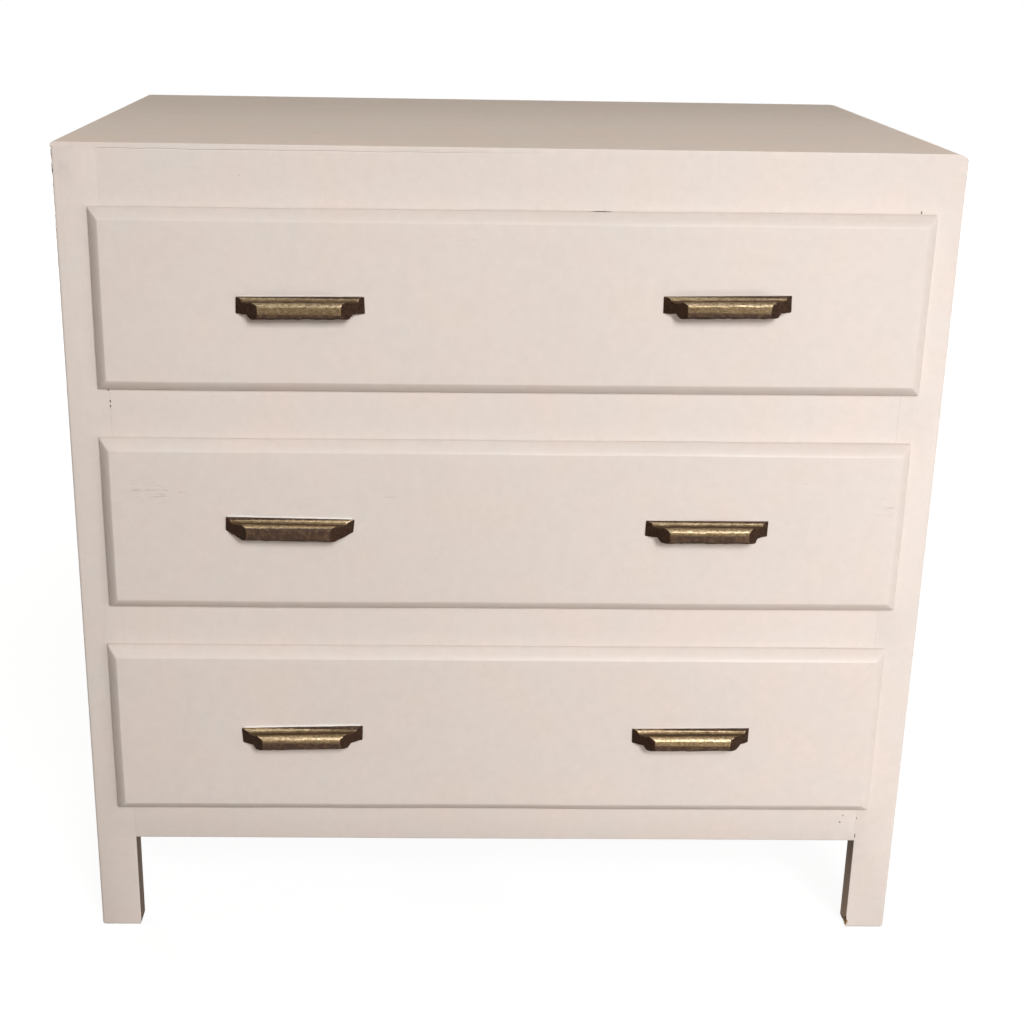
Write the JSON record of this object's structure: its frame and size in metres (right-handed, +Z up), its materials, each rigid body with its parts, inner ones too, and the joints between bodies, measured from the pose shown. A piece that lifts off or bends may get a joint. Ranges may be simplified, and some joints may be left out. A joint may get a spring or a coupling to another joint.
{
  "type": "commode",
  "caption": "Painted wooden commode: square legs, flush frame, lipped chamfered drawers that slide on wooden runners, each opened by moulded brass pulls with a finger pocket below",
  "frame": {"origin": "on the floor, under the middle of the whole commode with its pulls", "axes": "+X to the right as seen from the front, +Y from the front to the back, +Z up; the drawers open towards -Y"},
  "size_m": [0.82, 0.5306, 0.803],
  "materials": {
    "painted_wood": "smooth brushed pale cream paint, satin, with hairline cracks at the joints",
    "dark_wood": "old dark stained wood, unpainted",
    "pale_wood": "planed bare wood, aged",
    "plywood": "bare plywood, aged",
    "brass": "aged gilt brass, worn brown on the lower faces",
    "steel": "plain dull steel"
  },
  "bodies": {
    "carcass": {"front_post_left": "painted_wood", "front_post_right": "painted_wood", "rear_post_left": "painted_wood", "rear_post_right": "painted_wood", "top_rail": "painted_wood", "upper_rail": "painted_wood", "lower_rail": "painted_wood", "bottom_rail": "painted_wood", "rear_top_rail": "dark_wood", "rear_bottom_rail": "dark_wood", "side_panel_left": "painted_wood", "side_panel_right": "painted_wood", "top_panel": "painted_wood", "back_panel": "plywood", "top_drawer_runner_left": "dark_wood", "top_drawer_runner_right": "dark_wood", "middle_drawer_runner_left": "dark_wood", "middle_drawer_runner_right": "dark_wood", "bottom_drawer_runner_left": "dark_wood", "bottom_drawer_runner_right": "dark_wood", "top_side_rail_left": "dark_wood", "top_side_rail_right": "dark_wood"},
    "top_drawer": {"top_drawer_front": "painted_wood", "top_drawer_side_left": "pale_wood", "top_drawer_side_right": "pale_wood", "top_drawer_back": "pale_wood", "top_drawer_bottom": "plywood", "top_drawer_pull_left": "brass", "top_drawer_pull_right": "brass", "top_drawer_pull_left_screw_left": "steel", "top_drawer_pull_left_screw_right": "steel", "top_drawer_pull_right_screw_left": "steel", "top_drawer_pull_right_screw_right": "steel"},
    "middle_drawer": {"middle_drawer_front": "painted_wood", "middle_drawer_side_left": "pale_wood", "middle_drawer_side_right": "pale_wood", "middle_drawer_back": "pale_wood", "middle_drawer_bottom": "plywood", "middle_drawer_pull_left": "brass", "middle_drawer_pull_right": "brass", "middle_drawer_pull_left_screw_left": "steel", "middle_drawer_pull_left_screw_right": "steel", "middle_drawer_pull_right_screw_left": "steel", "middle_drawer_pull_right_screw_right": "steel"},
    "bottom_drawer": {"bottom_drawer_front": "painted_wood", "bottom_drawer_side_left": "pale_wood", "bottom_drawer_side_right": "pale_wood", "bottom_drawer_back": "pale_wood", "bottom_drawer_bottom": "plywood", "bottom_drawer_pull_left": "brass", "bottom_drawer_pull_right": "brass", "bottom_drawer_pull_left_screw_left": "steel", "bottom_drawer_pull_left_screw_right": "steel", "bottom_drawer_pull_right_screw_left": "steel", "bottom_drawer_pull_right_screw_right": "steel"}
  },
  "joints": [
    {"name": "top_drawer_slide", "type": "slide", "parent": "carcass", "child": "top_drawer", "axis": [0, -1, 0], "range_m": [0, 0.3]},
    {"name": "middle_drawer_slide", "type": "slide", "parent": "carcass", "child": "middle_drawer", "axis": [0, -1, 0], "range_m": [0, 0.3]},
    {"name": "bottom_drawer_slide", "type": "slide", "parent": "carcass", "child": "bottom_drawer", "axis": [0, -1, 0], "range_m": [0, 0.3]}
  ]
}
